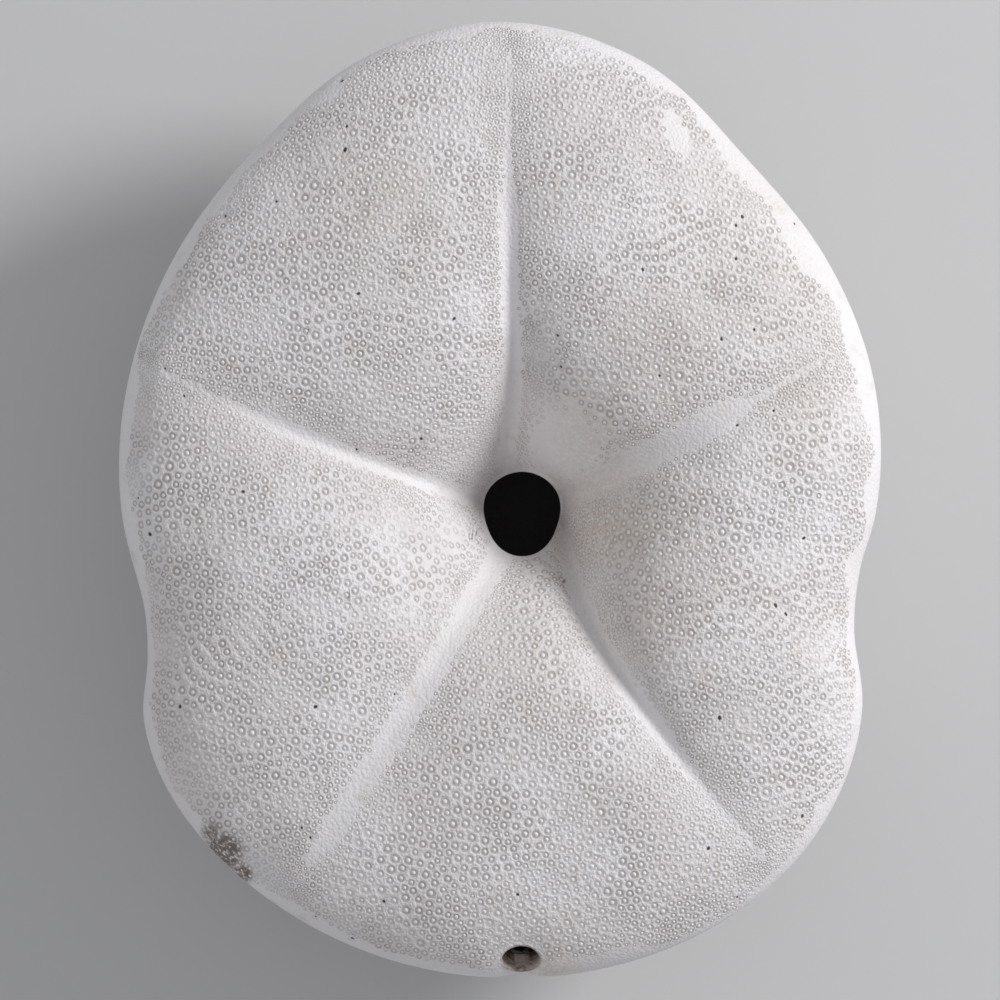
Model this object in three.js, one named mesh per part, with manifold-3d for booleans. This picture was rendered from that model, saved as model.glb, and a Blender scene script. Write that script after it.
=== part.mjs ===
// The dried skeleton (test) of a sea biscuit, a thick kind of sand dollar, lying on its back.
// It is one hollow shell of fused plates. The mouth side faces up: a funnel falls to the mouth and
// five food grooves run into it. The domed side, with its five swollen petals, faces down.
// Millimetres, +Z up, +Y to the animal's front. Angles are degrees from +X towards +Y.
import * as THREE from "three";
import { mergeVertices } from "three/addons/utils/BufferGeometryUtils.js";
import Module from "manifold-3d";

// Plan outline, as [heading, radius] about the mouth's axis
const OUTLINE = [
  [0, 44.4], [20, 47.1], [40, 49.8], [58, 52.8], [75, 58.7], [93, 61.8], [110, 60.4], [125, 56.9],
  [150, 53.5], [180, 50.3], [193, 48.9], [201, 50.4], [209, 54.3], [220, 56.8], [240, 58.2],
  [264, 58.5], [290, 57.6], [306, 55.9], [318, 53.3], [330, 49.3], [340, 44.4], [350, 43.0],
];

// Mouth side, measured up from the widest line of the body
const CROWN_HEIGHT = 10.1;
const CROWN_SQUARENESS = 4;
const EDGE_FALL = 1.5;
const FUNNEL_DEPTH = 6.7;
const FUNNEL_RADIUS = 13.8;

// Food grooves: right front, front, left front, left back, right back.
// bend turns the far end, hook turns the end at the mouth, reach is where it fades out.
const GROOVES = [
  { heading: 25.3, bend: 2.2, hook: 0, depth: 3.9, width: 1.6, reach: 0.87 },
  { heading: 93.0, bend: -1.5, hook: 21, depth: 6.6, width: 3.6, reach: 0.93 },
  { heading: 160.8, bend: -2.5, hook: 0, depth: 9.6, width: 5.9, reach: 0.93 },
  { heading: 240.0, bend: -1.7, hook: 0, depth: 6.8, width: 22.0, reach: 1.15 },
  { heading: 301.5, bend: 4.0, hook: 44, depth: 8.5, width: 3.2, reach: 0.93 },
];
const GROOVE_FLARE = 0.03;
const HOOK_LENGTH = 3.5;
const CREASE_RADIUS = 0.4;
const INNER_CREASE_RADIUS = 3;

// Mouth: a rounded five-sided hole, wider in front
const MOUTH_RADIUS = 5.1;
const MOUTH_STRETCH = 0.25;
const MOUTH_TAPER = 0.15;
const MOUTH_CORNERS = 0.1;
const LIP_RADIUS = 0.6;

// Domed side, measured down from the widest line
// The dome is round near its middle and takes the outline's shape towards the edge.
const DOME_DEPTH = 30;
const DOME_RADIUS = 53;
const DOME_SQUARENESS = 2.6;
const PETAL_RISE = 2.6;
const PETAL_HALF_WIDTH = 8;
const PETAL_LENGTH = 0.72;
const PETAL_FADE = [0.6, 1.15];
const PETAL_START = 3;
const PETAL_CREST = 17;
const RUB_DEPTH = 0.3;

const WALL = 3;

// Vent in the back edge, opening outwards and up
const VENT = { heading: 269.8, radius: 56.3, height: 2.4, tilt: 45, width: 4.8, length: 13 };

// Facets: lines run from the mouth to the dome's middle, rings run round. A ring's place is its
// step raised to an ease, which spreads the rings where the surface is flat.
const LINES_PER_SECTOR = 14;
const ORAL_RINGS = 28;
const DOME_RINGS = 18;
const INNER_ORAL_RINGS = 12;
const INNER_DOME_RINGS = 10;
const ORAL_EASE = 1.6;
const DOME_EASE = 1.2;
const VENT_SIDES = 24;
const RUB_CUTTER = { side: 60, thickness: 10 };

const radians = THREE.MathUtils.degToRad;
const smoothstep = THREE.MathUtils.smoothstep;

// Radius of the outline at a heading: a closed cubic through its points.
function outlineRadius(heading) {
  const count = OUTLINE.length;
  const turned = THREE.MathUtils.euclideanModulo(heading, 360);
  const knot = (index) => {
    const [angle, radius] = OUTLINE[THREE.MathUtils.euclideanModulo(index, count)];
    return [angle + 360 * Math.floor(index / count), radius];
  };
  const slope = (index) => {
    const [angle0, radius0] = knot(index - 1);
    const [angle1, radius1] = knot(index + 1);
    return (radius1 - radius0) / (angle1 - angle0);
  };
  let low = count - 1;
  while (OUTLINE[low][0] > turned) low -= 1;
  const [angle0, radius0] = knot(low);
  const [angle1, radius1] = knot(low + 1);
  const span = angle1 - angle0;
  const t = (turned - angle0) / span;
  return (1 + 2 * t) * (1 - t) ** 2 * radius0 + t * (1 - t) ** 2 * span * slope(low)
    + t * t * (3 - 2 * t) * radius1 + t * t * (t - 1) * span * slope(low + 1);
}

// Heading of one groove where it is at share u of the outline and at a radius.
function grooveHeading(groove, u, radius) {
  const hook = groove.hook * Math.exp(-(radius - MOUTH_RADIUS) / HOOK_LENGTH);
  return groove.heading + groove.bend * (2 * u - 1) + hook;
}

// Depth that all the grooves cut below the crown and the funnel.
function grooveDepth(heading, u, radius, crease) {
  let depth = 0;
  for (const groove of GROOVES) {
    const turn = radians(heading - grooveHeading(groove, u, radius));
    const away = Math.cos(turn) > 0 ? radius * Math.abs(Math.sin(turn)) : radius;
    const slope = Math.hypot(away, crease) - crease;
    const fade = Math.max(0, 1 - u / groove.reach);
    depth += groove.depth * fade * Math.exp(-slope / (groove.width + GROOVE_FLARE * radius));
  }
  return depth;
}

// Height of the mouth side: a squared crown, less its fall to the edge, the funnel and the grooves.
function oralHeight(heading, u, radius, inset, crease) {
  const crown = (CROWN_HEIGHT - inset) * Math.sqrt(Math.max(0, 1 - u ** CROWN_SQUARENESS));
  const funnel = FUNNEL_DEPTH * Math.exp(-((radius / FUNNEL_RADIUS) ** 2));
  return crown - EDGE_FALL * u * u - funnel - grooveDepth(heading, u, radius, crease);
}

// Swelling of the five petals: they rise from the middle and fade before the edge.
function petalRise(heading, radius) {
  let rise = 0;
  for (const groove of GROOVES) {
    const axis = groove.heading + groove.bend;
    const turn = radians(heading - axis);
    const along = radius * Math.cos(turn);
    const end = PETAL_LENGTH * outlineRadius(axis);
    const rising = smoothstep(along, PETAL_START, PETAL_CREST);
    const falling = 1 - smoothstep(along, PETAL_FADE[0] * end, PETAL_FADE[1] * end);
    const side = radius * Math.sin(turn) / PETAL_HALF_WIDTH;
    rise = Math.max(rise, PETAL_RISE * rising * falling * Math.exp(-(side ** 2)));
  }
  return rise;
}

function mouthRadius(heading) {
  return MOUTH_RADIUS - MOUTH_STRETCH * Math.cos(radians(2 * heading))
    + MOUTH_TAPER * Math.cos(radians(3 * (heading - 30)))
    + MOUTH_CORNERS * Math.cos(radians(5 * (heading - 18)));
}

function point(heading, radius, z) {
  return new THREE.Vector3(
    radius * Math.cos(radians(heading)), radius * Math.sin(radians(heading)), z);
}

// Heading of grid line `line` of `lines`: the grooves are lines themselves, with the others
// spread between them and drawn in towards them.
function lineHeading(line, lines, headingOf) {
  const perSector = lines / GROOVES.length;
  const sector = Math.floor(line / perSector);
  const share = line / perSector - sector;
  const eased = share - Math.sin(2 * Math.PI * share) / (4 * Math.PI);
  const from = headingOf(GROOVES[sector]);
  const last = sector === GROOVES.length - 1;
  const to = last ? headingOf(GROOVES[0]) + 360 : headingOf(GROOVES[sector + 1]);
  return from + (to - from) * eased;
}

const edgeHeading = (groove) => groove.heading + groove.bend;

// One ring of the mouth side. step runs from 0 at the mouth to 1 at the widest line.
function oralRing(step, lines, inset, crease) {
  const share = Math.sqrt(Math.sin(Math.PI / 2 * step ** ORAL_EASE));
  const between = (mouth, edge) => THREE.MathUtils.lerp(mouth + LIP_RADIUS, edge - inset, share);
  const ring = [];
  for (let line = 0; line < lines; line += 1) {
    const edge = outlineRadius(lineHeading(line, lines, edgeHeading));
    const near = between(MOUTH_RADIUS, edge);
    const headingOf = (groove) => grooveHeading(groove, near / (edge - inset), near);
    const heading = lineHeading(line, lines, headingOf);
    const outline = outlineRadius(heading);
    const radius = between(mouthRadius(heading), outline);
    const u = radius / (outline - inset);
    ring.push(point(heading, radius, oralHeight(heading, u, radius, inset, crease)));
  }
  return ring;
}

// One ring of the domed side. step runs from 1 at the widest line to 0 at the middle.
function domeRing(step, lines, inset) {
  const turn = Math.PI / 2 * step ** DOME_EASE;
  const share = Math.sin(turn) ** (2 / DOME_SQUARENESS);
  const ring = [];
  for (let line = 0; line < lines; line += 1) {
    const heading = lineHeading(line, lines, edgeHeading);
    const reach = THREE.MathUtils.lerp(DOME_RADIUS, outlineRadius(heading), share) - inset;
    const radius = share * reach;
    const swelling = inset > 0 ? 0 : petalRise(heading, radius);
    const depth = (DOME_DEPTH - inset) * Math.cos(turn) + swelling;
    ring.push(point(heading, radius, -EDGE_FALL - depth));
  }
  return ring;
}

// Closed shell, from rings that run over the outside and then over the inside.
class Shell {
  positions = [];
  triangles = [];

  ring(points) {
    const first = this.positions.length / 3;
    for (const p of points) this.positions.push(p.x, p.y, p.z);
    return { first, count: points.length };
  }

  triangle(a, b, c, flip) {
    this.triangles.push(...(flip ? [a, c, b] : [a, b, c]));
  }

  strip(near, far, flip) {
    for (let i = 0; i < near.count; i += 1) {
      const next = (i + 1) % near.count;
      this.triangle(near.first + i, far.first + i, far.first + next, flip);
      this.triangle(near.first + i, far.first + next, near.first + next, flip);
    }
  }

  // Joins a ring to one with twice as many points.
  doublingStrip(coarse, fine) {
    for (let i = 0; i < coarse.count; i += 1) {
      const next = (i + 1) % coarse.count;
      const middle = fine.first + 2 * i + 1;
      this.triangle(coarse.first + i, fine.first + 2 * i, middle, false);
      this.triangle(coarse.first + i, middle, coarse.first + next, false);
      this.triangle(coarse.first + next, middle, fine.first + (2 * i + 2) % fine.count, false);
    }
  }

  cap(last, centre, flip) {
    const apex = this.ring([centre]).first;
    for (let i = 0; i < last.count; i += 1) {
      this.triangle(last.first + i, apex, last.first + (i + 1) % last.count, flip);
    }
  }

  skin(rings, flip) {
    for (let i = 1; i < rings.length; i += 1) this.strip(rings[i - 1], rings[i], flip);
  }
}

// The rings of one skin, outer (inset 0) or inner, from the mouth to near the dome's middle.
function skinRings(lines, oralRings, domeRings, inset, crease) {
  const rings = [];
  for (let i = 0; i <= oralRings; i += 1) {
    rings.push(oralRing(i / oralRings, lines, inset, crease));
  }
  for (let i = domeRings - 1; i > 0; i -= 1) {
    rings.push(domeRing(i / domeRings, lines, inset));
  }
  return rings;
}

function buildShell() {
  const shell = new Shell();
  const lines = LINES_PER_SECTOR * GROOVES.length;
  const outer = skinRings(lines, ORAL_RINGS, DOME_RINGS, 0, CREASE_RADIUS);
  const lip = outer[0].map((p) => {
    const radius = Math.hypot(p.x, p.y);
    const inward = (radius - LIP_RADIUS) / radius;
    return new THREE.Vector3(p.x * inward, p.y * inward, p.z - LIP_RADIUS);
  });
  const outerRings = [lip, ...outer].map((points) => shell.ring(points));
  shell.skin(outerRings, false);
  shell.cap(outerRings.at(-1), new THREE.Vector3(0, 0, -EDGE_FALL - DOME_DEPTH), false);

  const inner = skinRings(
    lines / 2, INNER_ORAL_RINGS, INNER_DOME_RINGS, WALL, INNER_CREASE_RADIUS);
  const innerRings = inner.map((points) => shell.ring(points));
  shell.skin(innerRings, true);
  shell.cap(innerRings.at(-1), new THREE.Vector3(0, 0, WALL - EDGE_FALL - DOME_DEPTH), true);
  shell.doublingStrip(innerRings[0], outerRings[0]);

  const geometry = new THREE.BufferGeometry();
  geometry.setAttribute("position", new THREE.Float32BufferAttribute(shell.positions, 3));
  geometry.setIndex(shell.triangles);
  return geometry;
}

const wasm = await Module();
wasm.setup();

function toSolid(geometry) {
  return new wasm.Manifold(new wasm.Mesh({
    numProp: 3,
    vertProperties: new Float32Array(geometry.attributes.position.array),
    triVerts: new Uint32Array(geometry.index.array),
  }));
}

function toGeometry(solid) {
  const mesh = solid.getMesh();
  const geometry = new THREE.BufferGeometry();
  geometry.setAttribute("position", new THREE.BufferAttribute(mesh.vertProperties, 3));
  geometry.setIndex(new THREE.BufferAttribute(mesh.triVerts, 1));
  return geometry;
}

// A cutter of a three.js solid: only its corners are kept, each once.
function toCutter(geometry) {
  geometry.deleteAttribute("normal");
  geometry.deleteAttribute("uv");
  return toSolid(mergeVertices(geometry));
}

// Round hole through the wall, square to the slope of the back edge.
function ventCutter() {
  const axis = point(VENT.heading, Math.cos(radians(VENT.tilt)), Math.sin(radians(VENT.tilt)));
  const radius = VENT.width / 2;
  const cutter = new THREE.CylinderGeometry(radius, radius, VENT.length, VENT_SIDES);
  cutter.applyQuaternion(new THREE.Quaternion().setFromUnitVectors(new THREE.Vector3(0, 1, 0), axis));
  const place = point(VENT.heading, VENT.radius, VENT.height);
  cutter.translate(place.x, place.y, place.z);
  return toCutter(cutter);
}

// The crests of the petals are rubbed flat where the shell lies on them.
function rubCutter(lowest) {
  const { side, thickness } = RUB_CUTTER;
  const cutter = new THREE.BoxGeometry(side, side, thickness);
  cutter.translate(0, 0, lowest + RUB_DEPTH - thickness / 2);
  return toCutter(cutter);
}

function buildTest() {
  const shell = buildShell();
  shell.computeBoundingBox();
  const cut = toSolid(shell).subtract(ventCutter()).subtract(rubCutter(shell.boundingBox.min.z));
  const geometry = toGeometry(cut);
  geometry.computeBoundingBox();
  const { min, max } = geometry.boundingBox;
  geometry.translate(-(min.x + max.x) / 2, -(min.y + max.y) / 2, -min.z);
  const material = new THREE.MeshStandardMaterial({ color: 0xd3d0cf, roughness: 0.85, metalness: 0 });
  const mesh = new THREE.Mesh(geometry, material);
  mesh.name = "test";
  return mesh;
}

const seaBiscuit = new THREE.Group();
seaBiscuit.add(buildTest());

export default seaBiscuit;
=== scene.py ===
import math

import bpy
import numpy as np
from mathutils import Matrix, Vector
from mathutils.geometry import delaunay_2d_cdt


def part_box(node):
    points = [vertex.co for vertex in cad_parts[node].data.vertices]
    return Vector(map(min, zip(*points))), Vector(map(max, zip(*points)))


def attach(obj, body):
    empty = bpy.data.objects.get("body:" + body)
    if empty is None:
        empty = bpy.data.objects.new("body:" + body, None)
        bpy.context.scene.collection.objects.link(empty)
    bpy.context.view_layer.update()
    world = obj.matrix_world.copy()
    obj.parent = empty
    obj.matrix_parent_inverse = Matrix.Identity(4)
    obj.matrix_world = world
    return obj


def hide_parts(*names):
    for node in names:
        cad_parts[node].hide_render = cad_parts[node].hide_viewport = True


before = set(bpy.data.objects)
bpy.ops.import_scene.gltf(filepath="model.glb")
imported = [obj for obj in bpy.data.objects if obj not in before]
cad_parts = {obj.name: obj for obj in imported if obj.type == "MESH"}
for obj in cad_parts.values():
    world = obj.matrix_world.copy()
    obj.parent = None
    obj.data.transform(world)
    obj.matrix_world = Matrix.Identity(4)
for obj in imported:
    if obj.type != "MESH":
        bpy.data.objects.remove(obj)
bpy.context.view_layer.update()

# ---------------------------------------------------------------------------------------------
# Test: the dried skeleton of a sea biscuit, a thick kind of sand dollar, on its back. It is one
# hollow shell of calcite plates that grew together. This section gives its form in millimetres
# about the mouth's axis, heights from the widest line, headings in radians from +X towards +Y.
# ---------------------------------------------------------------------------------------------
MM = 0.001
TAU = 2 * math.pi

OUTLINE_HEADINGS = np.radians([
    0, 20, 40, 58, 75, 93, 110, 125, 150, 180, 193, 201, 209, 220, 240, 264, 290, 306, 318, 330,
    340, 350])
OUTLINE_RADII = np.array([
    44.4, 47.1, 49.8, 52.8, 58.7, 61.8, 60.4, 56.9, 53.5, 50.3, 48.9, 50.4, 54.3, 56.8, 58.2, 58.5,
    57.6, 55.9, 53.3, 49.3, 44.4, 43.0])

CROWN_HEIGHT = 10.1
EDGE_FALL = 1.5
FUNNEL_DEPTH = 6.7
FUNNEL_RADIUS = 13.8
DOME_DEPTH = 30.0
DOME_RADIUS = 53.0
DOME_POWER = 2 / 2.6
WALL = 3.0

# Food grooves: right front, front, left front, left back, right back
GROOVE_HEADINGS = np.radians([25.3, 93.0, 160.8, 240.0, 301.5])
GROOVE_BENDS = np.radians([2.2, -1.5, -2.5, -1.7, 4.0])
GROOVE_HOOKS = np.radians([0.0, 21.0, 0.0, 0.0, 44.0])
GROOVE_DEPTHS = np.array([3.9, 6.6, 9.6, 6.8, 8.5])
GROOVE_WIDTHS = np.array([1.6, 3.6, 5.9, 22.0, 3.2])
GROOVE_REACHES = np.array([0.87, 0.93, 0.93, 1.15, 0.93])
GROOVE_FLARE = 0.03
HOOK_LENGTH = 3.5
CREASE_RADIUS = 0.4

MOUTH_RADIUS = 5.1
MOUTH_STRETCH = 0.25
MOUTH_TAPER = 0.15
MOUTH_CORNERS = 0.03

PETAL_AXES = GROOVE_HEADINGS + GROOVE_BENDS
PETAL_RISE = 2.6
PETAL_HALF_WIDTH = 8.0
PETAL_LENGTH = 0.72
PETAL_START, PETAL_CREST = 3.0, 17.0
PETAL_FADE = (0.6, 1.15)
PORE_ROW_OFFSET = 6.6
PORE_ROW_HALF_WIDTH = 1.25
PORE_ROW_START = (3.6, 5.6)
PORE_ROW_END = (0.94, 0.995)


def outline(heading):
    """Radius of the plan outline at a heading: a closed cubic through the outline's points."""
    angles = np.concatenate([
        OUTLINE_HEADINGS[-2:] - TAU, OUTLINE_HEADINGS, OUTLINE_HEADINGS[:3] + TAU])
    radii = np.concatenate([OUTLINE_RADII[-2:], OUTLINE_RADII, OUTLINE_RADII[:3]])
    slopes = np.zeros_like(radii)
    slopes[1:-1] = (radii[2:] - radii[:-2]) / (angles[2:] - angles[:-2])
    turned = np.mod(heading, TAU)
    low = np.searchsorted(angles, turned, side="right") - 1
    span = angles[low + 1] - angles[low]
    t = (turned - angles[low]) / span
    return ((1 + 2 * t) * (1 - t) ** 2 * radii[low] + t * (1 - t) ** 2 * span * slopes[low]
            + t * t * (3 - 2 * t) * radii[low + 1] + t * t * (t - 1) * span * slopes[low + 1])


def mouth_edge(heading):
    """Radius of the mouth: a circle plus cosines of 2, 3 and 5 times the heading, which stretch it
    front to back, taper it to the back and give it five soft corners."""
    return (MOUTH_RADIUS - MOUTH_STRETCH * np.cos(2 * heading)
            + MOUTH_TAPER * np.cos(3 * heading - math.pi / 2)
            + MOUTH_CORNERS * np.cos(5 * heading - math.pi / 2))


def groove_offsets(heading, share, radius):
    """Turn from each groove's centre line, with the grooves along a new last axis. A groove's line
    bends with the share of the outline's radius and hooks round near the mouth."""
    hook = GROOVE_HOOKS * np.exp(-(radius - MOUTH_RADIUS) / HOOK_LENGTH)[..., None]
    line = GROOVE_HEADINGS + GROOVE_BENDS * (2 * share - 1)[..., None] + hook
    return np.angle(np.exp(1j * (heading[..., None] - line)))


def groove_distance(heading, share, radius):
    """Distance to each groove's line: the radius times the sine of the turn from it, or the radius
    itself behind the mouth."""
    turn = groove_offsets(heading, share, radius)
    ahead = np.abs(np.sin(turn)) * radius[..., None]
    return np.where(np.cos(turn) > 0, ahead, radius[..., None])


def mouth_side_height(heading, share, radius, inset=0.0, crease=CREASE_RADIUS):
    """Squared crown, less the fall to the edge, a bell-shaped funnel and the grooves, whose sides
    fall away by a decaying exponential of the distance from a rounded crease."""
    crown = (CROWN_HEIGHT - inset) * np.sqrt(np.clip(1 - share ** 4, 0, 1))
    funnel = FUNNEL_DEPTH * np.exp(-(radius / FUNNEL_RADIUS) ** 2)
    away = np.hypot(groove_distance(heading, share, radius), crease) - crease
    fade = np.clip(1 - share[..., None] / GROOVE_REACHES, 0, 1)
    widths = GROOVE_WIDTHS + GROOVE_FLARE * radius[..., None]
    grooves = (GROOVE_DEPTHS * fade * np.exp(-away / widths)).sum(-1)
    return crown - EDGE_FALL * share ** 2 - funnel - grooves


def smooth_step(value, start, end):
    """Cubic ease from 0 at start to 1 at end."""
    t = np.clip((value - start) / (end - start), 0, 1)
    return t * t * (3 - 2 * t)


def petal_frame(heading, radius):
    """Place along and across each petal's axis, in millimetres, on a new last axis."""
    turn = heading[..., None] - PETAL_AXES
    return radius[..., None] * np.cos(turn), radius[..., None] * np.sin(turn)


def petal_rise(heading, radius):
    """Swelling of the petals: a ridge with a bell-shaped section that rises from the middle and
    fades before the edge."""
    along, across = petal_frame(heading, radius)
    ends = PETAL_LENGTH * outline(PETAL_AXES)
    rising = smooth_step(along, PETAL_START, PETAL_CREST)
    falling = 1 - smooth_step(along / ends, *PETAL_FADE)
    return (PETAL_RISE * rising * falling * np.exp(-(across / PETAL_HALF_WIDTH) ** 2)).max(-1)


def pore_rows(heading, radius):
    """How far into a row of pores each place is, 0 to 1, with its run along the petal. A petal's two
    rows bow apart as the root of a sine and close at its end."""
    along, across = petal_frame(heading, radius)
    share = np.clip(along / (PETAL_LENGTH * outline(PETAL_AXES)), 0, 1)
    bow = PORE_ROW_OFFSET * np.clip(np.sin(math.pi * (0.03 + 0.94 * share)), 0, 1) ** 0.6
    side = (np.abs(across) - bow) / PORE_ROW_HALF_WIDTH
    depth = np.exp(-side ** 4) * smooth_step(along, *PORE_ROW_START) * (
        1 - smooth_step(share, *PORE_ROW_END))
    best = depth.argmax(-1)[..., None]
    return [np.take_along_axis(values, best, -1)[..., 0] for values in (depth, along)]


def skin(heading, turn, inset=0.0, crease=CREASE_RADIUS):
    """Point of the outer face, or of the inner one a wall's thickness in. turn is 0 on the mouth's
    axis, a quarter turn at the widest line and a half turn at the dome's middle. The radius is the
    outline's times a root of the sine of turn, and the heights follow its cosine. The dome starts
    at the mouth side's own height along the edge."""
    sine = np.clip(np.sin(turn), 0, 1)
    edge = outline(heading)
    up_share = np.sqrt(sine)
    up_radius = up_share * (edge - inset)
    up = mouth_side_height(heading, up_share, up_radius, inset, crease)
    down_share = sine ** DOME_POWER
    down_radius = down_share * (DOME_RADIUS + (edge - DOME_RADIUS) * down_share - inset)
    swelling = petal_rise(heading, down_radius) if inset == 0 else 0.0
    edge_height = mouth_side_height(heading, np.ones_like(edge), edge - inset, inset, crease)
    near_edge = sine ** 8
    low = EDGE_FALL * (1 - near_edge) - edge_height * near_edge + swelling
    down = (DOME_DEPTH - inset) * np.cos(turn) - low
    mouth_side = turn <= math.pi / 2
    radius = np.where(mouth_side, up_radius, down_radius)
    height = np.where(mouth_side, up, down)
    return np.stack([radius * np.cos(heading), radius * np.sin(heading), height], -1)


def normals(heading, turn):
    """Outward normals: the cross product of the skin's slopes along turn and heading."""
    step = 2e-3
    inner, outer = np.maximum(turn - step, 1e-4), np.minimum(turn + step, math.pi - 1e-4)
    along = skin(heading, outer) - skin(heading, inner)
    around = skin(heading + step, turn) - skin(heading - step, turn)
    normal = np.cross(along, around)
    return normal / np.linalg.norm(normal, axis=-1, keepdims=True)


def ripples(points, shortest, longest, seed, waves=48):
    """Even noise between about -1 and 1: a sum of plane waves in random directions."""
    rng = np.random.default_rng(seed)
    directions = rng.normal(size=(waves, 3))
    directions /= np.linalg.norm(directions, axis=1, keepdims=True)
    lengths = rng.uniform(shortest, longest, waves)
    phases = rng.uniform(0, TAU, waves)
    waves_here = np.cos(points @ (directions * (TAU / lengths)[:, None]).T + phases)
    return waves_here.sum(-1) / math.sqrt(waves)


# ---------------------------------------------------------------------------------------------
# The skin is laid out flat on a map that keeps angles, with its radius growing from the mouth to
# the dome's middle, and one seed is placed for each tubercle. The seeds settle until they are
# evenly packed, as the tubercles are on the real shell, and then each gets its cell of skin.
# ---------------------------------------------------------------------------------------------
LIP_RADIUS = 0.3
MOUTH_POINTS = 60

VENT_HEADING = math.radians(269.8)
VENT_RADIUS = 56.3
VENT_TILT = math.radians(45)
VENT_WIDTH = 4.8
VENT_BORDER = 0.35
VENT_POINTS = 24

DISC_RADIUS = 3.4
DISC_BORDER = 0.6
APEX_RADIUS = 1.6
APEX_POINTS = 12
GONOPORES = 5
GONOPORE_RADIUS = 2.7
GONOPORE_WIDTH = 1.6
GONOPORE_RIM_POINTS = 6
GONOPORE_DEPTH = 0.8

# Where tubercles are missing. The worn rim's reaches are turns of the skin from the widest line.
GROOVE_BARE_WIDTHS = np.array([2.1, 1.3, 1.1, 1.7, 1.3])
BESIDE_MOUTH_PLACE, BESIDE_MOUTH_RADIUS = (5.5, 8.5), 5.2
SCRAPED_PLACE, SCRAPED_WIDTH = np.array([19.2, 47.5]), 1.5
WORN_REACH, WORN_RAGGEDNESS = 0.30, 0.07
WORN_FRONT_HEADING, WORN_FRONT_SPREAD, WORN_FRONT_REACH = math.radians(42), 0.42, 0.20
WORN_VENT_HEADING, WORN_VENT_SPREAD, WORN_VENT_REACH = math.radians(278), 0.12, 0.10
WORN_DOME_NARROWING = 4.5

# Distances between neighbouring tubercles, and how the seeds settle
BESIDE_GROOVE_SPACING, LOBE_WIDENING = 0.92, 0.42
DOME_EDGE_SPACING, DOME_WIDENING = 1.06, 0.42
CREASE_SPACING = 0.7
HEXAGON_SHARE = 0.866
SETTLING_ROUNDS = 14
THINNING_ROUNDS = (3, 6, 9)
CROWDED_SHARE = 0.66

profile_turn = np.concatenate([
    math.pi / 2 * np.linspace(0.03, 1, 1500) ** 2,
    math.pi - math.pi / 2 * np.linspace(1, 0.01, 1500)[1:] ** 1.3])
profile = np.stack([skin(np.full_like(profile_turn, angle), profile_turn)
                    for angle in np.radians(np.arange(10, 370, 24))])
profile_radius = np.hypot(profile[..., 0], profile[..., 1]).mean(0)
profile_height = profile[..., 2].mean(0)
profile_step = np.hypot(np.diff(profile_radius), np.diff(profile_height))
profile_map = 5.0 * np.exp(np.concatenate([
    [0], np.cumsum(profile_step * 2 / (profile_radius[1:] + profile_radius[:-1]))]))


def to_map(heading, turn):
    """Place on the map: the heading stays, and the map's radius is the running sum, along the
    skin, of length over radius, raised by the exponential, so shapes keep their angles."""
    radius = np.interp(turn, profile_turn, profile_map)
    return np.stack([radius * np.cos(heading), radius * np.sin(heading)], -1)


def from_map(place):
    """Heading and turn of a place on the map."""
    heading = np.arctan2(place[..., 1], place[..., 0])
    return heading, np.interp(np.hypot(place[..., 0], place[..., 1]), profile_map, profile_turn)


def worn_rim(points, heading, turn):
    """1 on the edge, where handling has worn the tubercles off: a band about the widest line, wider
    at the right front and beside the vent, with a ragged border."""
    from_front = np.angle(np.exp(1j * (heading - WORN_FRONT_HEADING)))
    from_vent = np.angle(np.exp(1j * (heading - WORN_VENT_HEADING)))
    wide_front = WORN_FRONT_REACH * np.exp(-(from_front / WORN_FRONT_SPREAD) ** 2)
    wide_vent = WORN_VENT_REACH * np.exp(-(from_vent / WORN_VENT_SPREAD) ** 2)
    reach = WORN_REACH + wide_front + wide_vent + WORN_RAGGEDNESS * ripples(points, 5, 16, 23)
    below = np.where(turn > math.pi / 2, WORN_DOME_NARROWING, 1.0)
    away = np.abs(turn - math.pi / 2) * below / reach
    return smooth_step(away, 1.15, 0.75)


def bareness(points, heading, turn):
    """0 where tubercles grow, rising to 1 in the grooves' smooth bands, beside the mouth, on a
    scraped streak, along the petals' pore rows and on the disc in the dome's middle: the largest
    of their bell-shaped shares."""
    radius = np.hypot(points[..., 0], points[..., 1])
    share = radius / outline(heading)
    near_groove = np.exp(-(groove_distance(heading, share, radius) / GROOVE_BARE_WIDTHS) ** 2)
    fade = smooth_step(share[..., None] / GROOVE_REACHES, 0.92, 0.62)
    bare = (near_groove * fade).max(-1)
    beside_mouth = np.hypot(points[..., 0] - BESIDE_MOUTH_PLACE[0],
                            points[..., 1] - BESIDE_MOUTH_PLACE[1]) / BESIDE_MOUTH_RADIUS
    bare = np.maximum(bare, np.exp(-beside_mouth ** 2))
    bare = np.maximum(bare, worn_rim(points, heading, turn))
    right, front = points[..., 0] - SCRAPED_PLACE[0], points[..., 1] - SCRAPED_PLACE[1]
    scraped = np.hypot(right + 0.3 * front, front / 2) / SCRAPED_WIDTH
    bare = np.maximum(bare, np.exp(-scraped ** 4))
    disc = 1 - smooth_step(radius, DISC_RADIUS - DISC_BORDER, DISC_RADIUS + DISC_BORDER)
    dome_bare = np.maximum(disc, pore_rows(heading, radius)[0])
    dome_bare = np.maximum(dome_bare, worn_rim(points, heading, turn))
    return np.where(turn < math.pi / 2, bare, dome_bare)


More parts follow.
